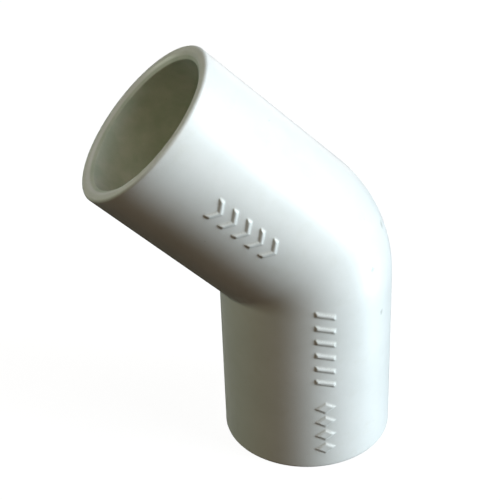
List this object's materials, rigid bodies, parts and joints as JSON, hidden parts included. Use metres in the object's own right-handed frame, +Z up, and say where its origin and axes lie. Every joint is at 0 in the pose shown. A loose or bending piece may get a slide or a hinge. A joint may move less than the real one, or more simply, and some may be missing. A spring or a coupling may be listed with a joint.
{
  "type": "45 degree pvc pipe elbow",
  "caption": "White rigid PVC elbow for small-bore plastic pipe: one moulding with equal plain cement sockets, pipe stops and a bend of 45 degrees.",
  "frame": {"origin": "centre of the lower socket's mouth, in the plane of its rim, on which the elbow stands", "axes": "+Z up the lower socket's axis, out of its mouth is -Z; the upper socket leans towards -X, its axis in the XZ plane at 45 degrees to +Z; the raised marks are on the -Y side"},
  "size_m": [0.0444, 0.0262, 0.0634],
  "materials": {
    "white_pvc": "satin"
  },
  "bodies": {
    "root": {"elbow_body": "white_pvc"}
  },
  "joints": []
}
